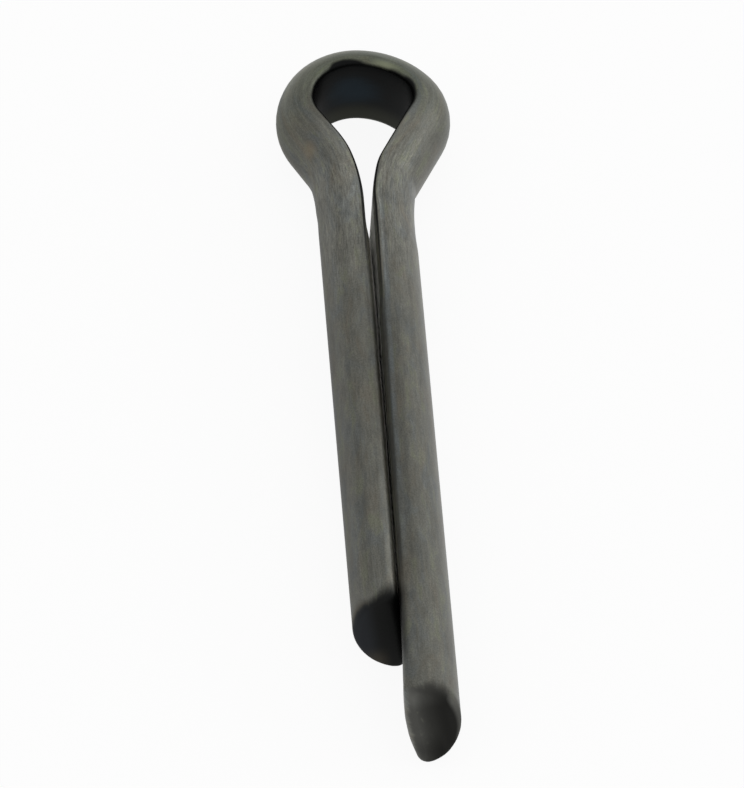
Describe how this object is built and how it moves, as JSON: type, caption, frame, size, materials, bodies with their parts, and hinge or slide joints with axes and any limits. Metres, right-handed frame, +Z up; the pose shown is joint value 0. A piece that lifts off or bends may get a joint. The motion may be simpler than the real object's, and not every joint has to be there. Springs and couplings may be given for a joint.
{
  "type": "split cotter pin",
  "caption": "Split cotter pin of folded half-round steel wire, with a keyhole eye and one leg longer than the other.",
  "frame": {"origin": "on the shank axis, at the upper end of the round shank where the neck of the eye begins to bend", "axes": "+Y along the shank towards the eye, the loop of the eye lies in the XY plane, the short leg is at -X and +Z is up from the surface it lies on"},
  "size_m": [0.0066, 0.0309, 0.0036],
  "materials": {
    "plain_steel": "plain drawn steel wire, tumbled, dark grey and satin, with blackened ends and eye"
  },
  "bodies": {
    "root": {"cotter_pin": "plain_steel"}
  },
  "joints": []
}
